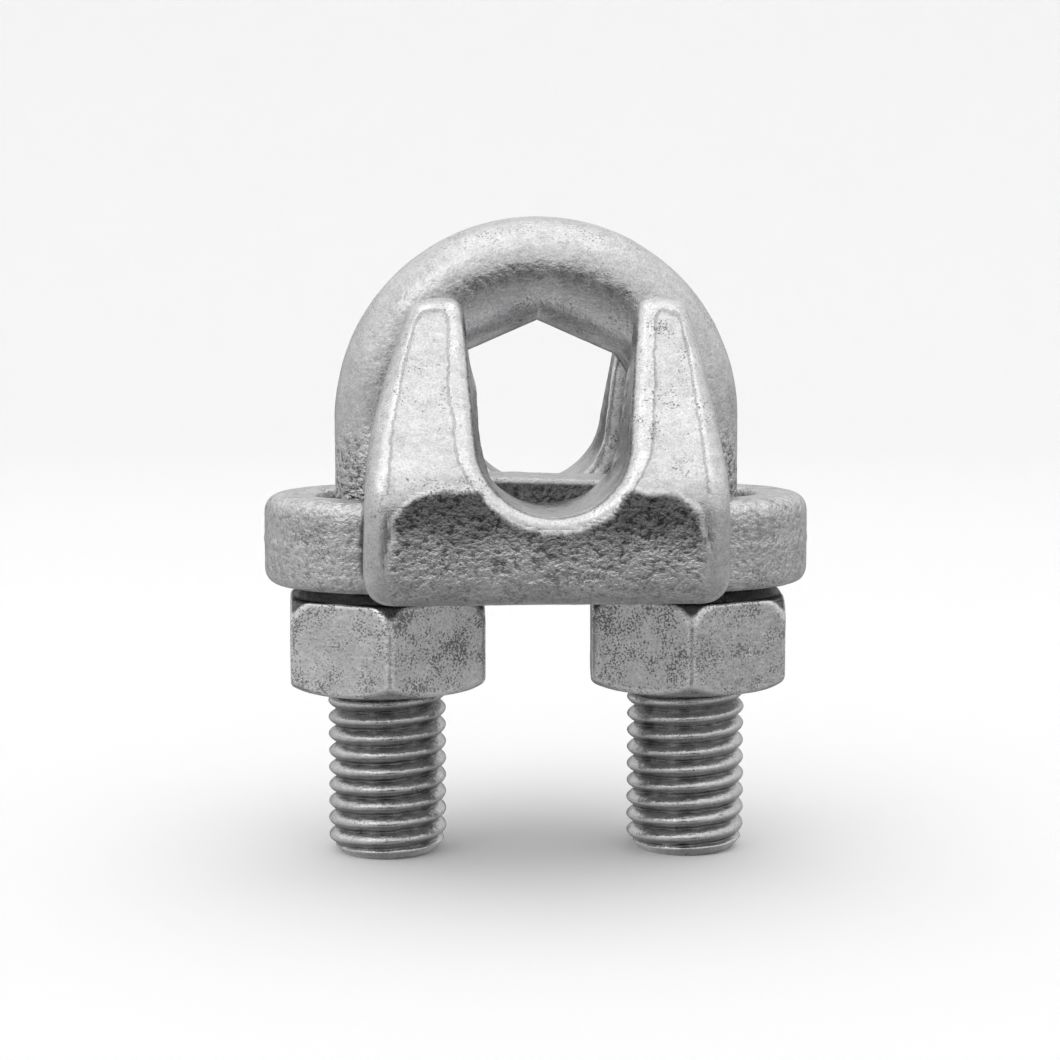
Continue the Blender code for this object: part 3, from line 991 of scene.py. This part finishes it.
def make_stage():
    """A pale round studio floor that curves up into a wall. Reflections see the world instead."""
    foot = STAGE_R - COVE_R
    profile = []
    for step in range(COVE_STEPS + 1):
        angle = math.pi / 2 * step / COVE_STEPS
        profile.append((foot + COVE_R * math.sin(angle), COVE_R - COVE_R * math.cos(angle)))
    profile.append((STAGE_R, STAGE_TOP))
    points, faces = [], []
    for radius, z in profile:
        for step in range(STAGE_STEPS):
            angle = 2 * math.pi * step / STAGE_STEPS
            points.append((radius * math.cos(angle), radius * math.sin(angle), z))
    for ring in range(len(profile) - 1):
        for step in range(STAGE_STEPS):
            after = (step + 1) % STAGE_STEPS
            low, high = ring * STAGE_STEPS, (ring + 1) * STAGE_STEPS
            faces.append((low + step, high + step, high + after, low + after))
    faces.append(tuple(range(STAGE_STEPS)))
    mesh = bpy.data.meshes.new("stage")
    mesh.from_pydata(points, [], faces)
    mesh.shade_smooth()
    stage = bpy.data.objects.new("stage", mesh)
    bpy.context.scene.collection.objects.link(stage)
    material = bpy.data.materials.new("stage_paper")
    graph = Graph(material)
    surface = graph.node("ShaderNodeBsdfPrincipled", Base_Color=PAPER, Roughness=1.0)
    graph.feed(surface.inputs["Specular IOR Level"], 0.0)
    graph.node("ShaderNodeOutputMaterial", Surface=surface.outputs[0])
    mesh.materials.append(material)
    stage.visible_glossy = False


# The world's brightness ahead and to the sides, from straight down (0) to straight up (1).
AHEAD = [
    (0.0, 0.22),
    (0.08, 0.36),
    (0.17, 0.46),
    (0.26, 0.38),
    (0.33, 0.16),
    (0.37, 0.0),
    (0.48, 0.0),
    (0.56, 0.45),
    (0.65, 0.92),
    (1.0, 1.02),
]
ASIDE = [
    (0.0, 0.22),
    (0.12, 0.40),
    (0.30, 0.54),
    (0.50, 0.62),
    (0.62, 0.75),
    (0.75, 0.97),
    (1.0, 1.02),
]
ASIDE_FROM = 0.20
ASIDE_TO = 0.48
RIGHT_DIM = 0.82


def brightness(graph, height, stops):
    """A grey that changes with height, through (height, brightness) stops."""
    made = graph.node("ShaderNodeValToRGB")
    graph.feed(made.inputs[0], height)
    elements = made.color_ramp.elements
    while len(elements) < len(stops):
        elements.new(0.5)
    for element, (position, level) in zip(elements, stops):
        element.position = position
        element.color = (level, level, level, 1.0)
    return made.outputs[0]


def make_world():
    """What the metal mirrors: a bright ceiling, a dark band at eye level in front, grey below."""
    world = bpy.data.worlds.new("studio")
    bpy.context.scene.world = world
    graph = Graph(world)
    way = graph.node("ShaderNodeTexCoord").outputs["Generated"]
    split = graph.node("ShaderNodeSeparateXYZ")
    graph.feed(split.inputs[0], way)
    x, z = split.outputs[0], split.outputs[2]
    height = graph.math("MULTIPLY_ADD", z, 0.5, 0.5)
    ahead = brightness(graph, height, AHEAD)
    aside = brightness(graph, height, ASIDE)
    sideways = graph.between(graph.math("ABSOLUTE", x), ASIDE_FROM, ASIDE_TO)
    blend = graph.node("ShaderNodeMix", {"data_type": "RGBA"})
    graph.feed(blend.inputs["Factor"], sideways)
    graph.feed(blend.inputs[6], ahead)
    graph.feed(blend.inputs[7], aside)
    to_right = graph.math("MULTIPLY", graph.between(x, 0.1, 0.8), graph.between(height, 0.56, 0.46))
    dimming = graph.between(to_right, 0.0, 1.0, 1.0, RIGHT_DIM)
    light = graph.node("ShaderNodeBackground", Strength=dimming)
    graph.feed(light.inputs[0], blend.outputs[2])
    graph.node("ShaderNodeOutputWorld", Surface=light.outputs[0])


def make_light(name, place, size, power):
    """A square soft lamp that faces the object."""
    data = bpy.data.lights.new(name, "AREA")
    data.shape = "RECTANGLE"
    data.size = size
    data.size_y = size
    data.energy = power
    lamp = bpy.data.objects.new(name, data)
    lamp.location = place
    lamp.rotation_euler = (LIGHT_AIM - lamp.location).to_track_quat("-Z", "Y").to_euler()
    bpy.context.scene.collection.objects.link(lamp)


make_u_bolt()
make_saddle()
# Both nuts are the same zinc: the left nut's lighter grey is a painted lit copy, the right nut's darker
# grey a painted shaded copy.
make_nut("nut_left", -1, LEFT_NUT_TURN, grey=0.71, seed=40)
make_nut("nut_right", 1, RIGHT_NUT_TURN, grey=0.62, seed=50)
make_stage()
make_world()
make_light("overhead", place=(0.0, -0.05, 0.85), size=1.0, power=1.2)
make_light("front_left", place=(-0.45, -0.45, 0.60), size=0.35, power=0.3)
make_camera()
bpy.context.scene.view_settings.view_transform = "Standard"
